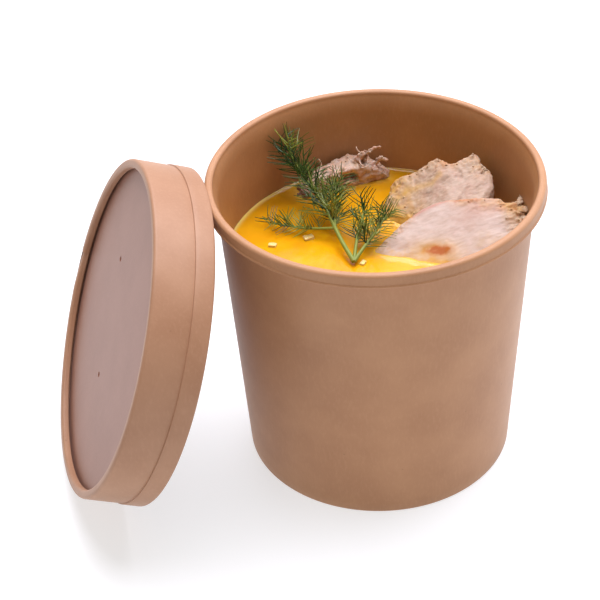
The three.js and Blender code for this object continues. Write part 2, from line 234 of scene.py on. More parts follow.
def soup_liquid():
    """Thick pumpkin-yellow soup, poured and still: opaque and glossy, its colour painted with shade at
    the back, a reflection in front and a highlight along the waterline.
    """
    finish, tree, shader = finish_named(
        "yellow soup, thick and glossy", 0.14, IOR=1.36, Subsurface_Weight=0.3
    )
    shader.inputs["Subsurface Radius"].default_value = (0.004, 0.0018, 0.0003)
    shader.inputs["Subsurface Scale"].default_value = 1.0
    place = add(tree, "ShaderNodeTexCoord").outputs["Object"]
    swirl = add(
        tree,
        "ShaderNodeTexNoise",
        {"Vector": place, "Scale": 1 / (11 * MM), "Detail": 2.0, "Distortion": 1.2},
    )
    share = add(tree, "ShaderNodeMapRange", {0: swirl.outputs[0], 1: 0.35, 2: 0.65})
    base = blend_colours(tree, share.outputs[0], "#E6A70E", "#E09A0A")
    # painted light in the soup's colour: shade towards the back, a reflection of the lamps in front,
    # and a pale rim at the waterline made brighter on the left as a highlight
    for mask, colour in (("back_shade_painted", "#A8720C"), ("pale", "#E4B42E"), ("film", "#E6C46C")):
        where = add(tree, "ShaderNodeAttribute", attribute_name=mask)
        base = blend_colours(tree, where.outputs["Fac"], base, colour)
    tree.links.new(base, shader.inputs["Base Color"])
    return finish


def boiled_root():
    """Boiled root vegetable, diced: pale, wet and slightly see-through at its edges."""
    finish, tree, shader = finish_named("boiled root, diced", 0.3, Subsurface_Weight=0.4)
    shader.inputs["Subsurface Radius"].default_value = (0.002, 0.0015, 0.0006)
    shader.inputs["Subsurface Scale"].default_value = 1.0
    place = add(tree, "ShaderNodeTexCoord").outputs["Object"]
    cell = add(tree, "ShaderNodeTexNoise", {"Vector": place, "Scale": 1 / (0.9 * MM)})
    base = blend_colours(tree, cell.outputs[0], "#EDD592", "#E4C070")
    tree.links.new(base, shader.inputs["Base Color"])
    return finish


def cooked_meat(name, pale, groove, fibre_turn, relief=0.24):
    """Cooked white meat, torn and sliced: moist fibres, browned where it met the pan.

    Marks on the piece's own surface say where it is soaked, fatty, browned or pink, and where shade is
    painted dark in its pits and hollows.
    """
    finish, tree, shader = finish_named(
        name, 0.48, IOR=1.4, Specular_IOR_Level=0.4, Subsurface_Weight=0.2
    )
    shader.inputs["Subsurface Radius"].default_value = (0.0018, 0.001, 0.0007)
    shader.inputs["Subsurface Scale"].default_value = 1.0
    place = add(tree, "ShaderNodeTexCoord").outputs["Object"]
    along = add(
        tree,
        "ShaderNodeMapping",
        {"Vector": place, "Rotation": (0.0, 0.0, -fibre_turn), "Scale": (0.22, 1.0, 0.8)},
    )
    # meat fibres are 0.05 mm thick, so what is drawn here are their bundles, 0.6 mm across
    bundle = add(
        tree,
        "ShaderNodeTexNoise",
        {"Vector": along.outputs[0], "Scale": 1 / (0.6 * MM), "Detail": 5.0, "Roughness": 0.6},
    )
    share = add(tree, "ShaderNodeMapRange", {0: bundle.outputs[0], 1: 0.36, 2: 0.56})
    base = blend_colours(tree, share.outputs[0], groove, pale)
    patch = add(tree, "ShaderNodeTexNoise", {"Vector": place, "Scale": 1 / (5 * MM), "Detail": 3.0})
    tint = add(tree, "ShaderNodeMapRange", {0: patch.outputs[0], 1: 0.46, 2: 0.66, 4: 0.5})
    base = blend_colours(tree, tint.outputs[0], base, "#B9A191")
    for mask, colour in (
        ("blush", "#B58373"),
        ("soaked", "#C8943C"),
        ("golden", "#C99C4E"),
        ("browned", "#A9580A"),
        # painted shade, dark in the meat's pits and hollows
        ("pit_and_shade", "#6E4434"),
    ):
        where = add(tree, "ShaderNodeAttribute", attribute_name=mask)
        base = blend_colours(tree, where.outputs["Fac"], base, colour)
    tree.links.new(base, shader.inputs["Base Color"])
    bump = add(
        tree,
        "ShaderNodeBump",
        {"Height": bundle.outputs[0], "Strength": relief, "Distance": 0.2 * MM},
    )
    tree.links.new(bump.outputs[0], shader.inputs["Normal"])
    return finish


def dill_leaf():
    """Fresh dill: thin soft needles, dark to yellow-green, on paler ribbed stems."""
    finish, tree, shader = finish_named("fresh dill", 0.45, IOR=1.4, Subsurface_Weight=0.12)
    shader.inputs["Subsurface Radius"].default_value = (0.0004, 0.0008, 0.0002)
    shader.inputs["Subsurface Scale"].default_value = 1.0
    place = add(tree, "ShaderNodeTexCoord").outputs["Object"]
    patch = add(tree, "ShaderNodeTexNoise", {"Vector": place, "Scale": 1 / (2.5 * MM)})
    share = add(tree, "ShaderNodeMapRange", {0: patch.outputs[0], 1: 0.35, 2: 0.65})
    base = blend_colours(tree, share.outputs[0], "#223716", "#3F5A28")
    fresh = add(tree, "ShaderNodeAttribute", attribute_name="fresh")
    young = add(tree, "ShaderNodeMapRange", {0: fresh.outputs["Fac"], 1: 0.5, 2: 1.0, 4: 0.8})
    base = blend_colours(tree, young.outputs[0], base, "#A3A94A")
    stalk = add(tree, "ShaderNodeAttribute", attribute_name="stalk")
    base = blend_colours(tree, stalk.outputs["Fac"], base, "#7F8A38")
    tree.links.new(base, shader.inputs["Base Color"])
    return finish


def arc(centre_r, centre_z, radius, start, end, steps):
    """Points of an arc in a profile's plane, angles in degrees."""
    turns = (math.radians(start + (end - start) * i / steps) for i in range(steps + 1))
    return [(centre_r + radius * math.cos(a), centre_z + radius * math.sin(a)) for a in turns]


def finely(profile, longest):
    """A profile with points added so that no stretch is longer than a length."""
    points = []
    for (r0, z0), (r1, z1) in zip(profile, profile[1:] + profile[:1]):
        parts = max(1, math.ceil(math.hypot(r1 - r0, z1 - z0) / longest))
        points += [(r0 + (r1 - r0) * k / parts, z0 + (z1 - z0) * k / parts) for k in range(parts)]
    return points


def turns_with_seam(steps, seam):
    """Even turns round an axis, with a narrow pair more where a strip's end makes a step."""
    beside = math.radians(0.04)
    even = [i * 2 * math.pi / steps for i in range(steps)]
    return sorted(even + [seam - beside, seam + beside])


def turned_shell(name, profile, turns, place, lap):
    """A closed board profile, run up its outer side, turned round an axis and put in its place.

    The lap says how far the strip's end stands out, and up, at a turn, a radius and a height.
    """
    rings, steps = len(profile), len(turns)
    corners = []
    for turn in turns:
        for r, z in profile:
            out, up = lap(turn, r, z)
            out += r
            corners.append(place @ Vector((out * math.cos(turn), out * math.sin(turn), z + up)))
    faces = []
    for i in range(steps):
        j = (i + 1) % steps
        for k in range(rings):
            m = (k + 1) % rings
            faces.append((i * rings + k, j * rings + k, j * rings + m, i * rings + m))
    mesh = bpy.data.meshes.new(name)
    mesh.from_pydata(corners, [], faces)
    return put_in_scene(name, mesh)


def turned_disc(name, profile, steps, place):
    """A profile from the axis out and back to the axis, turned to a closed round plate."""
    low, high, rim = profile[0], profile[-1], profile[1:-1]
    rings = len(rim)
    corners = [(0, 0, low[1]), (0, 0, high[1])]
    for i in range(steps):
        turn = i * 2 * math.pi / steps
        corners += [(r * math.cos(turn), r * math.sin(turn), z) for r, z in rim]
    faces = []
    for i in range(steps):
        a, b = 2 + i * rings, 2 + ((i + 1) % steps) * rings
        faces.append((0, b, a))
        faces.append((1, a + rings - 1, b + rings - 1))
        faces += [(a + k, b + k, b + k + 1, a + k + 1) for k in range(rings - 1)]
    mesh = bpy.data.meshes.new(name)
    mesh.from_pydata([place @ Vector(c) for c in corners], [], faces)
    return put_in_scene(name, mesh)


CUP_PLACE = Matrix.Translation(in_cup(0, 0, 0)) @ Matrix.Scale(MM, 4)
LID_PLACE = (
    Matrix.Translation(in_cup(-LID_STAND_OFF, 0, HEM_RADIUS * math.cos(LID_LEAN)))
    @ Matrix.Rotation(LID_LEAN - math.pi / 2, 4, "Y")
    @ Matrix.Scale(MM, 4)
)


def paper_cup():
    """The wound wall with its rolled rim and folded foot, and the round floor."""
    flank = ROLL_OUTER - 0.3
    low = SHOULDER_HEIGHT + 0.15
    inner = ROLL_OUTER - ROLL_WIDTH
    # the roll is pressed flat outside, and its lower edge stands out a little
    profile = [
        (FOOT_INNER + 0.2, 0.15),
        (FOOT_INNER + 0.5, 0.0),
        (FOOT_RADIUS - 0.6, 0.0),
        (FOOT_RADIUS - 0.25, 0.12),
        (FOOT_RADIUS + 0.01, 0.5),
        (wall_inside(low) + CUP_BOARD, low),
        *arc(ROLL_OUTER - 0.3, low + 0.3, 0.3, -90, 40, 6),
        (flank, low + 0.75),
        *arc(flank - 0.95, CUP_HEIGHT - 0.95, 0.95, 0, 90, 9),
        *arc(inner + 0.75, CUP_HEIGHT - 0.75, 0.75, 90, 180, 8),
        (inner - 0.25, CUP_HEIGHT - 1.5),
        (wall_inside(SHOULDER_HEIGHT + 0.8), SHOULDER_HEIGHT + 0.8),
        (wall_inside(FOOT_FOLD), FOOT_FOLD),
        (FOOT_INNER + 0.4, FOOT_FOLD),
        (FOOT_INNER, FOOT_FOLD - 0.4),
        (FOOT_INNER, 0.4),
    ]

    def lap(turn, r, z):
        """The wall's seam, up the far side: the strip's end lies on its start."""
        past = (turn - CUP_SEAM) % (2 * math.pi)
        outside = r > wall_inside(z) + CUP_BOARD / 2 and z < low + 0.01
        ends = min(1.0, z / 1.5, (SHOULDER_HEIGHT - z) / 1.5)
        return CUP_SEAM_STEP * outside * max(0.0, ends) * max(0.0, 1 - past / SEAM_FADE), 0.0

    wall = turned_shell(
        "cup_shell", finely(profile, 3.0), turns_with_seam(CUP_STEPS, CUP_SEAM), CUP_PLACE, lap
    )
    smooth(wall)
    edge = wall_inside(FLOOR_LOW) + 0.1
    top = FLOOR_LOW + FLOOR_THICK
    plate = [(0, FLOOR_LOW), (edge, FLOOR_LOW), (edge, top), (0, top)]
    floor = turned_disc("cup_floor", plate, CUP_STEPS, CUP_PLACE)
    smooth(floor)
    outside = kraft_board("kraft board, bare outside", "#B98862", "#AE7D58", "#C2936E")
    inside = kraft_board(
        "kraft board, lined inside", "#AF7E54", "#A4734A", "#BA8A5F", roughness=0.42, lining=True
    )
    for finish in (outside, inside):
        wall.data.materials.append(finish)
    floor.data.materials.append(inside)
    for face in wall.data.polygons:
        out = face.center - CUP_AXIS
        inward = face.normal.x * out.x + face.normal.y * out.y < 0
        if inward and FOOT_FOLD < face.center.z / MM < CUP_HEIGHT - 1.0:
            face.material_index = 1
    return wall, floor


def paper_lid():
    """The lid's wound skirt with hem and top bead, and the sunk panel with its two vents."""
    inner = LID_RADIUS - LID_BOARD
    hem_inner = HEM_RADIUS - HEM_BOARD
    fold = LID_HEIGHT - PANEL_DEPTH
    profile = [
        (hem_inner + 0.2, 0.0),
        (HEM_RADIUS - 0.25, 0.0),
        (HEM_RADIUS - 0.03, 0.25),
        (HEM_RADIUS, 0.6),
        (HEM_RADIUS, HEM_HEIGHT - 0.2),
        (HEM_RADIUS - 0.06, HEM_HEIGHT - 0.04),
        (HEM_RADIUS - 0.2, HEM_HEIGHT),
        (LID_RADIUS - 0.12, HEM_HEIGHT + 0.06),
        (LID_RADIUS - 0.1, HEM_HEIGHT + 0.6),
        (LID_RADIUS, HEM_HEIGHT + 1.6),
        *arc(LID_RADIUS - LID_CORNER, LID_HEIGHT - LID_CORNER, LID_CORNER, 0, 90, 10),
        *arc(BEAD_INNER + 0.8, LID_HEIGHT - 0.8, 0.8, 90, 180, 8),
        (BEAD_INNER, fold + CREVICE + 0.15),
        (BEAD_INNER + 0.15, fold + CREVICE),
        (inner, fold + CREVICE),
        (inner, HEM_HEIGHT),
        (hem_inner, HEM_HEIGHT - 0.2),
        (hem_inner, 0.2),
    ]

    def lap(turn, r, z):
        """The bead's seam, on its far side: the strip's end sinks a little below its start."""
        past = (turn - LID_SEAM) % (2 * math.pi)
        on_bead = z > fold + CREVICE + 0.5 and r < LID_RADIUS - 0.3
        sunk = LID_SEAM_STEP * on_bead * max(0.0, 1 - past / SEAM_FADE)
        return 0.6 * sunk, -sunk

    skirt = turned_shell(
        "lid_skirt", finely(profile, 2.0), turns_with_seam(LID_STEPS, LID_SEAM), LID_PLACE, lap
    )
    smooth(skirt)
    edge = inner + 0.1
    plate = [(0, fold - LID_BOARD), (edge, fold - LID_BOARD), (edge, fold), (0, fold)]
    panel = turned_disc("lid_plate", plate, LID_STEPS, LID_PLACE)
    for vent in VENTS:
        punch = turned_disc(
            "punch",
            [(0, fold - 2), (VENT_RADIUS, fold - 2), (VENT_RADIUS, fold + 2), (0, fold + 2)],
            20,
            LID_PLACE @ Matrix.Translation((vent[0], vent[1], 0)),
        )
        cut = panel.modifiers.new("vent", "BOOLEAN")
        cut.operation = "DIFFERENCE"
        cut.object = punch
        settle(panel)
        bpy.data.objects.remove(punch)
    smooth(panel)
    side = kraft_board("kraft board, lid skirt", "#B18567", "#A77A5C", "#BC9073")
    flat = kraft_board("kraft board, lid panel", "#9A6A55", "#93634E", "#A47560", roughness=0.45)
    skirt.data.materials.append(side)
    panel.data.materials.append(flat)
    return skirt, panel


def spot(x, y, at_x, at_y, half_long, half_wide, turn=0.0):
    """A soft oval spot seen from above, 1 at its middle."""
    c, s = math.cos(math.radians(turn)), math.sin(math.radians(turn))
    along = ((x - at_x) * c + (y - at_y) * s) / half_long
    across = ((y - at_y) * c - (x - at_x) * s) / half_wide
    return np.exp(-(along**2) - across**2)


def streak(x, y, course, half_wide):
    """A soft line through points seen from above, 1 along it."""
    nearest = np.full(len(x), 1e9)
    for (x0, y0), (x1, y1) in zip(course, course[1:]):
        length = (x1 - x0) ** 2 + (y1 - y0) ** 2
        t = np.clip(((x - x0) * (x1 - x0) + (y - y0) * (y1 - y0)) / length, 0, 1)
        nearest = np.minimum(nearest, np.hypot(x - x0 - t * (x1 - x0), y - y0 - t * (y1 - y0)))
    return np.exp(-((nearest / half_wide) ** 2))


def ragged(x, y, z, size, seed):
    """Uneven noise from 0 to 1, with grains of a size in millimetres."""
    places = zip(x / size, y / size, z / size + 7.3 * seed)
    return np.array([0.5 + 0.5 * noise.fractal(place, 0.8, 2.0, 3) for place in places])


def soaked(x, y, z, high):
    """Soup that stains the meat up to a ragged height."""
    return np.clip((high - z + 2.2 * (ragged(x, y, z, 2.5, 1) - 0.5)) / 1.6, 0, 1)


def front_marks(x, y, z):
    """Marks on the slice in front: a browned spot, a fatty crust and torn edges."""
    rag = ragged(x, y, z, 1.6, 2)
    coarse = ragged(x, y, z, 3.5, 3)
    crust = streak(x, y, [(23.5, 5.4), (26.8, 3.9), (30.7, 1.3), (34.7, -0.6), (36.6, -3)], 2.1)
    left_edge = streak(x, y, [(-1, -1.5), (3, 1.5), (7.6, 3.4), (10.5, 4.6)], 1.3)
    ring = spot(x, y, 14.4, -5.8, 6.0, 2.3, -19)
    return {
        "blush": np.clip(
            0.9 * streak(x, y, [(11, 5), (17.1, 5.9), (21.5, 6), (26.4, 4.9)], 0.7)
            + 0.6 * crust * (0.4 + 0.8 * coarse)
            + 0.35 * spot(x, y, 27, 0, 6, 3)
            + 0.5 * spot(x, y, 7.6, 3.0, 2.2, 1.4) * (rag > 0.5),
            0,
            1,
        ),
        "soaked": np.clip(
            0.85 * soaked(x, y, z, 62.2) + 0.8 * spot(x, y, 13.5, -9.2, 8, 1.8, -14), 0, 1
        ),
        "golden": np.clip(
            1.1 * ring * (0.7 + 0.5 * rag)
            + 0.35 * crust * (0.3 + 1.1 * rag)
            + 0.5 * left_edge * rag
            + 0.35 * streak(x, y, [(27.5, -8), (31, -9.5), (35, -9.5)], 2.2) * rag
            + 0.3 * np.clip((z - 65.5) / 3, 0, 1) * np.clip((x - 32) / 2, 0, 1),
            0,
            1,
        ),
        "browned": np.clip(
            2.2 * spot(x, y, 15.6, -6.2, 3.0, 1.1, -19) * (0.35 + 1.0 * rag)
            + 0.3 * left_edge * (rag > 0.6)
            + 0.3 * crust * (coarse > 0.62),
            0,
            1,
        ),
        "torn": np.clip(
            crust + 0.9 * left_edge + 1.5 * streak(x, y, [(36, -1), (37.5, -4), (35, -8)], 3.2),
            0,
            1.4,
        ),
        "tuft": np.clip((x - 32) / 2.5, 0, 1) * np.clip((z - 63.5) / 2, 0, 1),
    }


def right_marks(x, y, z):
    """Marks on the slab behind: a golden ridge, a crumbled top, a soaked left side and a spot of
    painted shade in a crevice on top.
    """
    rag = ragged(x, y, z, 1.5, 4)
    coarse = ragged(x, y, z, 3.5, 5)
    ridge = streak(x, y, [(12.2, 17.4), (16.2, 16.7), (19.3, 15.4), (21.7, 16.4)], 0.9)
    top = streak(x, y, [(11, 22), (16, 22.6), (21.7, 21.4), (24, 19), (30.5, 18), (33.6, 13)], 2.4)
    left = np.clip((17.5 - x) / 8, 0, 1)
    return {
        "blush": 0.6 * np.clip(2.2 * coarse - 0.9, 0, 1) * (0.5 + 0.5 * left),
        "soaked": np.clip(0.8 * soaked(x, y, z, 64.4) + 0.45 * left * coarse, 0, 1),
        "golden": np.clip(0.45 * ridge + 0.8 * left * rag + 0.4 * top * rag + 0.03, 0, 1),
        "browned": np.clip(
            # the spot at 24.3, 18.8 is painted shade where a crevice lies; the rest is browning along
            # the top
            0.3 * spot(x, y, 24.3, 18.8, 2.2, 1.4) + 0.2 * top * (rag > 0.62), 0, 1
        ),
        "torn": np.clip(top + 0.7 * left * rag + 0.2, 0, 1),
    }


def left_marks(x, y, z):
    """Marks on the torn piece at the back: a left tip coloured as dark as the shaded pits, and curled
    fibres on top.
    """
    rag = ragged(x, y, z, 1.5, 6)
    coarse = ragged(x, y, z, 3.0, 7)
    tip = np.clip((-11.5 - x) / 3.5, 0, 1)
    return {
        "blush": 0.7 * np.clip(2.0 * coarse - 0.8, 0, 1),
        "soaked": 0.3 * soaked(x, y, z, 61.9),
        "golden": np.clip(0.3 * rag - 0.05, 0, 1),
        "browned": 0.15 * (rag > 0.64),
        # the left tip is darkened with the same colour as the painted shade in the pits
        "dark": 0.9 * tip,
        "torn": np.clip(0.55 + 0.6 * coarse, 0, 1),
        "wisp": 0.3 * np.clip((z - 68.5) / 2, 0, 1),
    }


def torn_tree():
    """Geometry Nodes that strew crumbs and bent threads of meat where a surface is torn."""
    tree = bpy.data.node_groups.new("torn fibres", "GeometryNodeTree")
    face = tree.interface
    face.new_socket("Geometry", in_out="INPUT", socket_type="NodeSocketGeometry")
    sockets = {}
    for label, kind in (
        ("Crumbs per area", "NodeSocketFloat"),
        ("Crumb size", "NodeSocketFloat"),
        ("Threads per area", "NodeSocketFloat"),
        ("Thread length", "NodeSocketFloat"),
        ("Seed", "NodeSocketInt"),
        ("Finish", "NodeSocketMaterial"),
    ):
        sockets[label] = face.new_socket(label, in_out="INPUT", socket_type=kind).identifier
    face.new_socket("Geometry", in_out="OUTPUT", socket_type="NodeSocketGeometry")
    given = add(tree, "NodeGroupInput").outputs
    torn = add(tree, "GeometryNodeInputNamedAttribute", {"Name": "torn"}, data_type="FLOAT")
    torn = add(tree, "ShaderNodeMath", {0: torn.outputs[0], 1: 2.0}, operation="POWER").outputs[0]

    # a crumb: an uneven lump of twenty faces
    lump = add(tree, "GeometryNodeMeshIcoSphere", {"Radius": 0.5, "Subdivisions": 1})
    # a thread: a bent line with a tapering skin
    line = add(
        tree,
        "GeometryNodeCurvePrimitiveBezierSegment",
        {
            "Resolution": 6,
            "Start": (0.0, 0.0, -0.15),
            "Start Handle": (0.0, 0.0, 0.35),
            "End Handle": (0.1, 0.1, 0.75),
            "End": (0.5, 0.15, 0.8),
        },
    )
    share = add(tree, "GeometryNodeSplineParameter").outputs["Factor"]
    taper = add(tree, "ShaderNodeMapRange", {0: share, 3: 0.13, 4: 0.07})
    ring = add(tree, "GeometryNodeCurvePrimitiveCircle", {"Resolution": 5, "Radius": 1.0})
    thread = add(
        tree,
        "GeometryNodeCurveToMesh",
        {
            "Curve": line.outputs[0],
            "Profile Curve": ring.outputs["Curve"],
            "Scale": taper.outputs[0],
            "Fill Caps": True,
        },
    )

    together = add(tree, "GeometryNodeJoinGeometry")
    tree.links.new(given["Geometry"], together.inputs[0])
    for number, (shape, density, size, squeeze) in enumerate(
        (
            (lump.outputs["Mesh"], "Crumbs per area", "Crumb size", 0.5),
            (thread.outputs[0], "Threads per area", "Thread length", 0.9),
        )
    ):
        here = add(
            tree, "ShaderNodeMath", {0: torn, 1: given[density]}, operation="MULTIPLY"
        ).outputs[0]
        points = add(
            tree,
            "GeometryNodeDistributePointsOnFaces",
            {"Mesh": given["Geometry"], "Density": here, "Seed": given["Seed"]},
        )
        wide = add(
            tree,
            "FunctionNodeRandomValue",
            {0: (squeeze, squeeze, squeeze), 1: (1.2, 1.2, 1.2), "Seed": number + 1},
            data_type="FLOAT_VECTOR",
        )
        scale = add(
            tree,
            "ShaderNodeVectorMath",
            {0: wide.outputs[0], "Scale": given[size]},
            operation="SCALE",
        )
        tilt = add(
            tree,
            "FunctionNodeRandomValue",
            {0: (-0.9, -0.9, -3.1), 1: (0.9, 0.9, 3.1), "Seed": number + 5},
            data_type="FLOAT_VECTOR",
        )
        planted = add(
            tree,
            "GeometryNodeInstanceOnPoints",
            {
                "Points": points.outputs["Points"],
                "Instance": shape,
                "Rotation": points.outputs["Rotation"],
                "Scale": scale.outputs[0],
            },
        )
        turned = add(
            tree,
            "GeometryNodeRotateInstances",
            {"Instances": planted.outputs[0], "Rotation": tilt.outputs[0], "Local Space": True},
        )
        tree.links.new(turned.outputs[0], together.inputs[0])
    real = add(tree, "GeometryNodeRealizeInstances", {"Geometry": together.outputs[0]})
    dressed = add(
        tree,
        "GeometryNodeSetMaterial",
        {"Geometry": real.outputs[0], "Material": given["Finish"]},
    )
    add(tree, "NodeGroupOutput", {0: dressed.outputs[0]})
    return tree, sockets


def hold_in_cup(corners, clearance, lowest=0.0):
    """Corners, in metres, moved in from the cup's wall and up from a lowest height."""
    flat = corners[:, :2] - np.array(CUP_AXIS[:2])
    corners[:, 2] = np.maximum(corners[:, 2], lowest * MM)
    room = (wall_inside(corners[:, 2] / MM) - clearance) * MM
    reach = np.maximum(np.hypot(flat[:, 0], flat[:, 1]), 1e-6)
    corners[:, :2] = np.array(CUP_AXIS[:2]) + flat * np.minimum(1.0, room / reach)[:, None]
    return corners


def corners_of(mesh, what="co"):
    """A mesh's corner places or normals as rows of an array."""
    values = np.empty(len(mesh.vertices) * 3)
    (mesh.vertices if what == "co" else mesh.vertex_normals).foreach_get(
        "co" if what == "co" else "vector", values
    )
    return values.reshape(-1, 3)


def meat_piece(name, node, fibre_turn, finish, marks, seed, trim, rough=1.0, threads=0.02):
    """A torn piece of cooked meat: the solid's form, remeshed fine, with fibres, pits and crumb."""
    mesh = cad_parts[node].data.copy()
    made = put_in_scene(name, mesh)
    work = bmesh.new()
    work.from_mesh(mesh)
    bmesh.ops.remove_doubles(work, verts=work.verts, dist=0.002 * MM)
    work.to_mesh(mesh)
    work.free()
    even = made.modifiers.new("even", "REMESH")
    even.mode = "VOXEL"
    even.voxel_size = MEAT_VOXEL * MM
    soft = made.modifiers.new("soft", "SMOOTH")
    soft.iterations = 5
    mesh = settle(made)
    places, facing = corners_of(mesh), corners_of(mesh, "normal")
    x, y, z = ((places - np.array([*CUP_AXIS[:2], 0.0])) / MM).T
    layers = marks(x, y, z)
    torn = layers["torn"]
    c, s = math.cos(fibre_turn), math.sin(fibre_turn)
    along, across = x * c + y * s, y * c - x * s
    lump = ragged(x, y, z, 6.0, seed) - 0.5
    bundle = ragged(along / 5.0, across, z, 1.3, seed + 1) - 0.5
    fibre = ragged(along / 4.0, across, z, 0.6, seed + 2) - 0.5
    crumb = ragged(x, y, z, 1.7, seed + 3) - 0.5
    fold = ragged(along / 1.8, across, z, 3.2, seed + 5) - 0.5
    hollow = np.clip(ragged(along / 2.0, across, z, 2.2, seed + 4) - 0.66, 0, 1)
    dark = layers.pop("dark", 0.0)
    pit_and_shade = hollow * (0.2 + torn)
    rise = rough * MEAT_GRAIN * (2.0 * lump + 2.4 * fold + 0.9 * bundle + 0.45 * fibre)
    rise += (0.15 * rough + max(rough, 0.5) * torn) * 0.9 * crumb - 4.0 * rough * pit_and_shade
    tuft = layers.pop("tuft", None)
    wisp = layers.pop("wisp", None)
    if tuft is not None:
        rise += tuft * (0.2 + 0.9 * crumb + 0.9 * bundle)
        # the strands lie down on the rest, which slumps against the wall
        places[:, 2] -= TUFT_DROOP * MM * tuft * np.maximum(z - DROOP_FROM, 0.0)
        places[:, 0] += TUFT_SLUMP * MM * np.clip((x - 30) / 5, 0, 1)
    if wisp is not None:
        rise -= wisp
        places[:, 2] -= WISP_DROOP * MM * np.maximum(z - WISP_FROM, 0.0)
    places += facing * rise[:, None] * MM
    mesh.vertices.foreach_set("co", hold_in_cup(places, MEAT_CLEARANCE).ravel())
    # painted shade: the pits and the hollows between crumbs are coloured dark
    gaps = 0.3 * torn * np.clip(-2.5 * crumb - 0.35, 0, 1)
    layers["pit_and_shade"] = np.maximum(np.clip(3.0 * rough * pit_and_shade + gaps, 0, 0.5), dark)
    for layer, values in layers.items():
        mesh.attributes.new(layer, "FLOAT", "POINT").data.foreach_set("value", values)
    tree, sockets = trim
    dressing = made.modifiers.new("torn", "NODES")
    dressing.node_group = tree
    for label, value in (
        ("Crumbs per area", CRUMBS_PER_MM2 * 1e6 * rough),
        ("Crumb size", CRUMB_SIZE * MM),
        ("Threads per area", threads * 1e6),
        ("Thread length", THREAD_LENGTH * MM),
        ("Seed", seed),
        ("Finish", finish),
    ):
        dressing[sockets[label]] = value
    mesh = settle(made)
    mesh.vertices.foreach_set("co", hold_in_cup(corners_of(mesh), MEAT_CLEARANCE).ravel())
    smooth(made, 180)
    return made


def diced_bit(x, y, length, width, turn, seed):
    """A small soft dice of root that floats in the soup, as a mesh."""
    place = Matrix.Translation(in_cup(x, y, SOUP_LEVEL + 0.1)) @ Matrix.Rotation(turn, 4, "Z")
    work = bmesh.new()
    bmesh.ops.create_cube(work, size=1.0)
    bmesh.ops.subdivide_edges(work, edges=list(work.edges), cuts=4, use_grid_fill=True)
    for corner in work.verts:
        round_off = 1 - 0.35 * max(0.0, corner.co.length - 0.5)
        bump = noise.noise(corner.co * 2.2 + Vector((seed, 0, 0)))
        grown = corner.co * round_off * (1 + 0.2 * bump)
        corner.co = place @ (Vector((grown.x * length, grown.y * width, grown.z * 1.1)) * MM)
    for face in work.faces:
        face.material_index = 1
    mesh = bpy.data.meshes.new("diced_bit")
    work.to_mesh(mesh)
    work.free()
    return mesh


def soup_body(meats):
    """The soup: a surface that creeps up the wall and the meat, and a body down to the floor."""
    rings, steps = 110, 240
    view = bpy.context.evaluated_depsgraph_get()
    trees = [BVHTree.FromObject(made, view) for made in meats]
    edge = wall_inside(SOUP_LEVEL) + 0.15
    corners = [(0.0, 0.0)]
    for k in range(1, rings + 1):
        r = edge * (1 - (1 - k / rings) ** 1.35)
        for i in range(steps):
            turn = 2 * math.pi * i / steps
            corners.append((r * math.cos(turn), r * math.sin(turn)))
    places, film, back_shade_painted, pale = [], [], [], []
    for x, y in corners:
        from_wall = max(0.0, wall_inside(SOUP_LEVEL) - math.hypot(x, y))
        near = min(tree.find_nearest(in_cup(x, y, SOUP_LEVEL))[3] for tree in trees) / MM
        climb = 0.8 * math.exp(-from_wall / 0.7) + 0.5 * math.exp(-near / 0.7)
        wave = 0.2 * noise.noise(Vector((x / 13, y / 13, 2.0)))
        wave += 0.05 * noise.noise(Vector((x / 3.5, y / 3.5, 5.0)))
        places.append(in_cup(x, y, SOUP_LEVEL + wave + climb))
        cloud = 0.5 + 0.5 * noise.fractal(Vector((x / 8, y / 8, 3.0)), 0.8, 2.0, 3)
        left = max(0.15, min(1.0, (-x - 8) / 14))
        # a pale rim where the soup creeps up the wall and the meat, painted brighter on the left as a
        # highlight
        film.append(0.9 * left * math.exp(-((from_wall / 0.55) ** 2)) + 0.3 * math.exp(-near / 0.7))
        # painted shade: the soup is darker towards the back of the cup, where the wall shades it and
        # is reflected in it
        back_shade_painted.append(max(0.0, min(1.0, (y - 8) / 22)) * (0.45 + 0.6 * cloud))
        # painted reflection of the lamps: the soup is paler in front
        beside = math.exp(-(((x - 4) / 11) ** 2) - ((y + 22) / 18) ** 2)
        pale.append(min(0.8, beside * (0.2 + 0.8 * cloud)))
    faces = [(0, 1 + i, 1 + (i + 1) % steps) for i in range(steps)]
    for k in range(rings - 1):
        a = 1 + k * steps
        for i in range(steps):
            j = (i + 1) % steps
            faces.append((a + i, a + steps + i, a + steps + j, a + j))
    bottom = FLOOR_LOW + FLOOR_THICK
    last = 1 + (rings - 1) * steps
    first_low = len(places)
    for i in range(steps):
        turn = 2 * math.pi * i / steps
        r = wall_inside(bottom) + 0.15
        places.append(in_cup(r * math.cos(turn), r * math.sin(turn), bottom))
    places.append(in_cup(0, 0, bottom))
    for i in range(steps):
        j = (i + 1) % steps
        faces.append((last + i, first_low + i, first_low + j, last + j))
        faces.append((first_low + j, first_low + i, len(places) - 1))
    mesh = bpy.data.meshes.new("soup_body")
    mesh.from_pydata(places, [], faces)
    rest = [0.0] * (len(places) - len(film))
    for name, values in (("film", film), ("back_shade_painted", back_shade_painted), ("pale", pale)):
        mesh.attributes.new(name, "FLOAT", "POINT").data.foreach_set("value", values + rest)
    work = bmesh.new()
    work.from_mesh(mesh)
    for seed, bit in enumerate(BITS):
        work.from_mesh(diced_bit(*bit, seed))
    work.to_mesh(mesh)
    work.free()
    made = put_in_scene("soup_body", mesh)
    smooth(made, 50)
    mesh.materials.append(soup_liquid())
    mesh.materials.append(boiled_root())
    return made


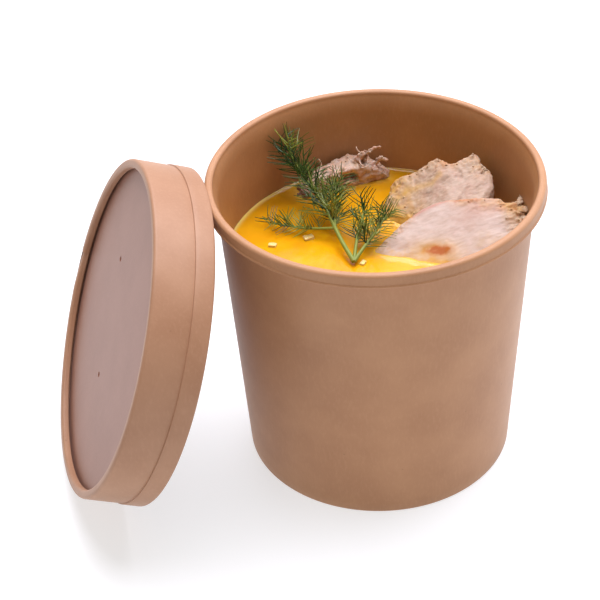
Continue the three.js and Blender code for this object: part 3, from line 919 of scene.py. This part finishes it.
# The sprig, in millimetres: each branch's path, its stem's radii, bare share, shoots and reach
CUT_END = (-7.1, -4.9, 62.4)
FORK = (-9.6, 7.8, 65.1)
BRANCHES = {
    "main": (
        [CUT_END, (-8.4, 0.1, 63.6), (-9.5, 7.3, 65), (-10.5, 15.8, 66.8), (-12.7, 23.7, 69),
         (-15, 28.8, 71.2), (-16.6, 32, 73.8), (-17.2, 33.8, 76)],
        (0.7, 0.3), 0.34, 38, 8.2,
    ),
    "right": ([CUT_END, (-4.4, -1.9, 63.5), (-0.4, 2, 65), (4.5, 6.9, 67.6)],
              (0.6, 0.25), 0.32, 14, 6.6),
    "middle": ([CUT_END, (-5.6, 0, 64), (-3.1, 6.2, 65.6), (-0.7, 11.4, 67)],
               (0.55, 0.25), 0.36, 13, 6.8),
    "centre": ([FORK, (-8.4, 12.6, 66.8), (-7.2, 17, 68.2), (-6.4, 20.4, 69.4)],
               (0.45, 0.22), 0.1, 16, 6.8),
    "left": ([FORK, (-14.6, 10.4, 63.8), (-19.6, 13.8, 63.0), (-24.6, 17.4, 62.7)],
             (0.42, 0.22), 0.25, 12, 5.8),
}


def dill_tree(finish):
    """Geometry Nodes that dress a stem's curve with feathery shoots in a spiral."""
    tree = bpy.data.node_groups.new("dill shoots", "GeometryNodeTree")
    face = tree.interface
    face.new_socket("Geometry", in_out="INPUT", socket_type="NodeSocketGeometry")
    sockets = {}
    for label, kind in (
        ("Thick", "NodeSocketFloat"),
        ("Thin", "NodeSocketFloat"),
        ("Bare share", "NodeSocketFloat"),
        ("Shoots", "NodeSocketInt"),
        ("Shoot length", "NodeSocketFloat"),
        ("Seed", "NodeSocketInt"),
    ):
        sockets[label] = face.new_socket(label, in_out="INPUT", socket_type=kind).identifier
    face.new_socket("Geometry", in_out="OUTPUT", socket_type="NodeSocketGeometry")
    given = add(tree, "NodeGroupInput").outputs
    share = add(tree, "GeometryNodeSplineParameter").outputs["Factor"]
    number = add(tree, "GeometryNodeInputIndex").outputs[0]
    ring = add(tree, "GeometryNodeCurvePrimitiveCircle", {"Resolution": 4, "Radius": 1.0})

    # the branch's stem, a tube that thins out
    width = add(tree, "ShaderNodeMapRange", {0: share, 3: given["Thick"], 4: given["Thin"]})
    path = add(tree, "GeometryNodeResampleCurve", {"Curve": given["Geometry"], "Count": 40})
    section = add(tree, "GeometryNodeCurvePrimitiveCircle", {"Resolution": 8, "Radius": 1.0})
    stem = add(
        tree,
        "GeometryNodeCurveToMesh",
        {
            "Curve": path.outputs[0],
            "Profile Curve": section.outputs["Curve"],
            "Scale": width.outputs[0],
            "Fill Caps": True,
        },
    )
    stem = add(
        tree,
        "GeometryNodeStoreNamedAttribute",
        {"Geometry": stem.outputs[0], "Name": "stalk", "Value": 1.0},
        data_type="FLOAT",
        domain="POINT",
    )

    # one needle, drawn for a shoot 1 long
    line = add(
        tree,
        "GeometryNodeCurvePrimitiveBezierSegment",
        {
            "Resolution": 4,
            "Start": (0.0, 0.0, 0.0),
            "Start Handle": (0.0, 0.0, 0.35),
            "End Handle": (0.04, 0.02, 0.85),
            "End": (0.1, 0.05, 1.25),
        },
    )
    taper = add(tree, "ShaderNodeMapRange", {0: share, 3: 0.027, 4: 0.012})
    needle = add(
        tree,
        "GeometryNodeCurveToMesh",
        {
            "Curve": line.outputs[0],
            "Profile Curve": ring.outputs["Curve"],
            "Scale": taper.outputs[0],
            "Fill Caps": True,
        },
    )

    # a shoot: a bent rib with seven needles, left and right by turns, shorter towards its end
    rib = add(
        tree,
        "GeometryNodeCurvePrimitiveBezierSegment",
        {
            "Resolution": 9,
            "Start": (0.0, 0.0, 0.0),
            "Start Handle": (0.0, 0.0, 0.2),
            "End Handle": (0.0, 0.06, 0.4),
            "End": (0.0, 0.14, 0.62),
        },
    )
    rib_width = add(tree, "ShaderNodeMapRange", {0: share, 3: 0.036, 4: 0.02})
    rib_tube = add(
        tree,
        "GeometryNodeCurveToMesh",
        {
            "Curve": rib.outputs[0],
            "Profile Curve": ring.outputs["Curve"],
            "Scale": rib_width.outputs[0],
        },
    )
    seats = add(tree, "GeometryNodeCurveToPoints", {"Curve": rib.outputs[0], "Count": 7}, mode="COUNT")
    wobble = add(
        tree, "FunctionNodeRandomValue", {"ID": number, "Seed": 3, 2: -0.6, 3: 0.6}, data_type="FLOAT"
    )
    half_turns = add(
        tree,
        "ShaderNodeMath",
        {0: number, 1: math.pi, 2: wobble.outputs[1]},
        operation="MULTIPLY_ADD",
    )
    across = add(tree, "ShaderNodeMath", {0: half_turns.outputs[0]}, operation="COSINE")
    beside = add(tree, "ShaderNodeMath", {0: half_turns.outputs[0]}, operation="SINE")
    spread = add(tree, "ShaderNodeCombineXYZ", {0: across.outputs[0], 1: beside.outputs[0], 2: 1.15})
    aimed = add(tree, "FunctionNodeAlignRotationToVector", {"Vector": spread.outputs[0]}, axis="Z")
    length = add(tree, "ShaderNodeMapRange", {0: number, 1: 0.0, 2: 6.0, 3: 0.85, 4: 0.5})
    stretch = add(tree, "ShaderNodeCombineXYZ", {0: 1.0, 1: 1.0, 2: length.outputs[0]})
    needles = add(
        tree,
        "GeometryNodeInstanceOnPoints",
        {
            "Points": seats.outputs["Points"],
            "Instance": needle.outputs[0],
            "Rotation": aimed.outputs[0],
            "Scale": stretch.outputs[0],
        },
    )
    shoot = add(tree, "GeometryNodeJoinGeometry")
    for part in (needles.outputs[0], rib_tube.outputs[0]):
        tree.links.new(part, shoot.inputs[0])
    shoot = add(tree, "GeometryNodeRealizeInstances", {"Geometry": shoot.outputs[0]})

    # shoots in a spiral round the part of the stem that is not bare, leaning ahead
    trimmed = add(
        tree,
        "GeometryNodeTrimCurve",
        {"Curve": given["Geometry"], "Start": given["Bare share"], "End": 1.0},
        mode="FACTOR",
    )
    roots = add(
        tree,
        "GeometryNodeCurveToPoints",
        {"Curve": trimmed.outputs[0], "Count": given["Shoots"]},
        mode="COUNT",
    )
    jitter = add(
        tree,
        "FunctionNodeRandomValue",
        {"ID": number, "Seed": given["Seed"], 2: -0.5, 3: 0.5},
        data_type="FLOAT",
    )
    golden = math.pi * (3 - math.sqrt(5))
    spiral = add(
        tree,
        "ShaderNodeMath",
        {0: number, 1: golden, 2: jitter.outputs[1]},
        operation="MULTIPLY_ADD",
    )
    side_x = add(tree, "ShaderNodeMath", {0: spiral.outputs[0]}, operation="COSINE")
    side_y = add(tree, "ShaderNodeMath", {0: spiral.outputs[0]}, operation="SINE")
    side = add(tree, "ShaderNodeCombineXYZ", {0: side_x.outputs[0], 1: side_y.outputs[0], 2: 0.45})
    outward = add(tree, "ShaderNodeVectorMath", {0: side.outputs[0]}, operation="NORMALIZE")
    way = add(
        tree,
        "ShaderNodeVectorMath",
        {0: outward.outputs[0], 1: roots.outputs["Tangent"]},
        operation="ADD",
    )
    facing = add(tree, "FunctionNodeAlignRotationToVector", {"Vector": way.outputs[0]}, axis="Z")
    some = add(
        tree,
        "FunctionNodeRandomValue",
        {"ID": number, "Seed": given["Seed"], 2: 0.7, 3: 1.0},
        data_type="FLOAT",
    )
    size = add(
        tree,
        "ShaderNodeMath",
        {0: some.outputs[1], 1: given["Shoot length"]},
        operation="MULTIPLY",
    )
    planted = add(
        tree,
        "GeometryNodeInstanceOnPoints",
        {
            "Points": roots.outputs["Points"],
            "Instance": shoot.outputs[0],
            "Rotation": facing.outputs[0],
            "Scale": size.outputs[0],
        },
    )
    twist = add(
        tree,
        "FunctionNodeRandomValue",
        {0: (0.0, 0.0, -1.6), 1: (0.0, 0.0, 1.6), "Seed": given["Seed"]},
        data_type="FLOAT_VECTOR",
    )
    planted = add(
        tree,
        "GeometryNodeRotateInstances",
        {"Instances": planted.outputs[0], "Rotation": twist.outputs[0], "Local Space": True},
    )
    age = add(tree, "FunctionNodeRandomValue", {"ID": number, "Seed": 11}, data_type="FLOAT")
    aged = add(
        tree,
        "GeometryNodeStoreNamedAttribute",
        {"Geometry": planted.outputs[0], "Name": "fresh", "Value": age.outputs[1]},
        data_type="FLOAT",
        domain="INSTANCE",
    )
    together = add(tree, "GeometryNodeJoinGeometry")
    for part in (aged.outputs[0], stem.outputs[0]):
        tree.links.new(part, together.inputs[0])
    real = add(tree, "GeometryNodeRealizeInstances", {"Geometry": together.outputs[0]})
    dressed = add(
        tree, "GeometryNodeSetMaterial", {"Geometry": real.outputs[0], "Material": finish}
    )
    add(tree, "NodeGroupOutput", {0: dressed.outputs[0]})
    return tree, sockets


def dill_sprig(meats):
    """The sprig of dill: five branches with shoots, whose corners stay out of wall, soup and meat."""
    finish = dill_leaf()
    tree, sockets = dill_tree(finish)
    whole = bmesh.new()
    for number, (name, (path, radii, bare, shoots, length)) in enumerate(BRANCHES.items()):
        shape = bpy.data.curves.new(name, "CURVE")
        shape.dimensions = "3D"
        spline = shape.splines.new("NURBS")
        spline.points.add(len(path) - 1)
        for point, place in zip(spline.points, path):
            point.co = (*in_cup(*place), 1.0)
        spline.order_u = 3
        spline.use_endpoint_u = True
        stem = put_in_scene("stem_" + name, shape)
        dressing = stem.modifiers.new("shoots", "NODES")
        dressing.node_group = tree
        for label, value in (
            ("Thick", radii[0] * MM),
            ("Thin", radii[1] * MM),
            ("Bare share", bare),
            ("Shoots", shoots),
            ("Shoot length", length * MM),
            ("Seed", number + 4),
        ):
            dressing[sockets[label]] = value
        view = bpy.context.evaluated_depsgraph_get()
        branch = bpy.data.meshes.new_from_object(stem.evaluated_get(view))
        bpy.data.objects.remove(stem)
        whole.from_mesh(branch)
    mesh = bpy.data.meshes.new("dill_sprig")
    whole.to_mesh(mesh)
    whole.free()
    view = bpy.context.evaluated_depsgraph_get()
    trees = [BVHTree.FromObject(made, view) for made in meats]
    for corner in mesh.vertices:
        for surface in trees:
            spot_on, outward, _, gap = surface.find_nearest(corner.co)
            if (corner.co - spot_on).dot(outward) < 0 and gap < NEEDLE_SEARCH * MM:
                corner.co = spot_on + outward * NEEDLE_CLEARANCE * MM
    places = hold_in_cup(corners_of(mesh), SPRIG_CLEARANCE, SOUP_LEVEL + SPRIG_LIFT)
    mesh.vertices.foreach_set("co", places.ravel())
    made = put_in_scene("dill_sprig", mesh)
    mesh.materials.append(finish)
    smooth(made, 60)
    return made


def camera():
    """The photograph's view: 114 mm lens, 37 degrees above the table, a little to the left."""
    back = Vector((0, -math.cos(CAMERA_LIFT), math.sin(CAMERA_LIFT)))
    across = Vector((1, 0, 0))
    up = Vector((0, math.sin(CAMERA_LIFT), math.cos(CAMERA_LIFT)))
    right = across * math.cos(CAMERA_ROLL) + up * math.sin(CAMERA_ROLL)
    above = up * math.cos(CAMERA_ROLL) - across * math.sin(CAMERA_ROLL)
    around = Matrix.Rotation(CAMERA_TURN, 3, "Z")
    right, above, back = around @ right, around @ above, around @ back
    lens = bpy.data.cameras.new("photo_view")
    lens.lens = CAMERA_LENS
    lens.sensor_width = 36
    made = bpy.data.objects.new("photo_view", lens)
    made.matrix_world = Matrix.Translation(in_cup(*CAMERA_PLACE)) @ Matrix(
        (right, above, back)
    ).transposed().to_4x4()
    bpy.context.scene.collection.objects.link(made)
    bpy.context.scene.camera = made


def softbox(name, place, size, power, tint):
    """A soft studio lamp that faces the cup, with a tint of red, green and blue."""
    lamp = bpy.data.lights.new(name, "AREA")
    lamp.shape = "DISK"
    lamp.size = size
    lamp.energy = power
    lamp.color = tint
    made = bpy.data.objects.new(name, lamp)
    made.location = place
    made.rotation_mode = "QUATERNION"
    made.rotation_quaternion = (Vector((0, 0, 0.05)) - Vector(place)).to_track_quat("-Z", "Y")
    bpy.context.scene.collection.objects.link(made)


def studio():
    """A white table, soft daylight lamps overhead, at the right and behind, in a warm white room."""
    half = TABLE_HALF
    mesh = bpy.data.meshes.new("table")
    mesh.from_pydata(
        [(-half, -half, 0), (half, -half, 0), (half, half, 0), (-half, half, 0)], [], [(0, 1, 2, 3)]
    )
    table = put_in_scene("table", mesh)
    white, _, shader = finish_named("white table", 0.9, Specular_IOR_Level=0.1)
    shader.inputs["Base Color"].default_value = hex_colour("#B9B9BA")
    # the table glows a little, as backlit acrylic does, so its shadows stay pale
    shader.inputs["Emission Color"].default_value = (0.98, 1, 1.02, 1)
    shader.inputs["Emission Strength"].default_value = TABLE_GLOW
    mesh.materials.append(white)
    softbox("overhead", (0.14, 0.19, 0.93), 0.9, 14, (0.98, 0.98, 1.08))
    softbox("side", (0.85, 0.3, 0.34), 0.7, 2.2, (0.94, 1.0, 1.2))
    softbox("behind", (0.1, 0.9, 0.7), 0.9, 2.5, (0.94, 1.0, 1.2))
    room = bpy.data.worlds.new("warm white room")
    room.use_nodes = True
    room.node_tree.nodes["Background"].inputs[0].default_value = (1, 0.93, 0.83, 1)
    room.node_tree.nodes["Background"].inputs[1].default_value = ROOM_LIGHT
    bpy.context.scene.world = room
    bpy.context.scene.view_settings.view_transform = "Standard"


camera()
studio()
cup, cup_floor = paper_cup()
skirt, panel = paper_lid()

trim = torn_tree()
front = meat_piece(
    "slice_front",
    "meat_front",
    math.radians(12),
    cooked_meat("cooked white meat, sliced", "#C9B3A7", "#BFA89B", math.radians(12), 0.12),
    front_marks,
    1,
    trim,
    rough=0.22,
    threads=0.005,
)
slab = meat_piece(
    "slab_back_right",
    "meat_back_right",
    math.radians(35),
    cooked_meat("cooked white meat, crusted", "#BBA08D", "#AA8E7A", math.radians(35)),
    right_marks,
    12,
    trim,
    rough=0.5,
    threads=0.002,
)
chunk = meat_piece(
    "chunk_back_left",
    "meat_back_left",
    math.radians(20),
    cooked_meat("cooked white meat, torn", "#D0B5A5", "#BD9F8E", math.radians(20)),
    left_marks,
    23,
    trim,
    rough=1.2,
)
meats = (front, slab, chunk)
soup = soup_body(meats)
sprig = dill_sprig(meats)

for piece, node, slot in (
    (cup, "cup_wall", "kraft_board"),
    (cup_floor, "cup_base", "kraft_board"),
    (skirt, "lid_ring", "kraft_board"),
    (panel, "lid_panel", "kraft_panel"),
    (front, "meat_front", "cooked_meat"),
    (slab, "meat_back_right", "cooked_meat"),
    (chunk, "meat_back_left", "cooked_meat"),
    (soup, "soup", "soup"),
    (sprig, "dill", "dill"),
):
    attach(piece, "root")
    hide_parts(node)
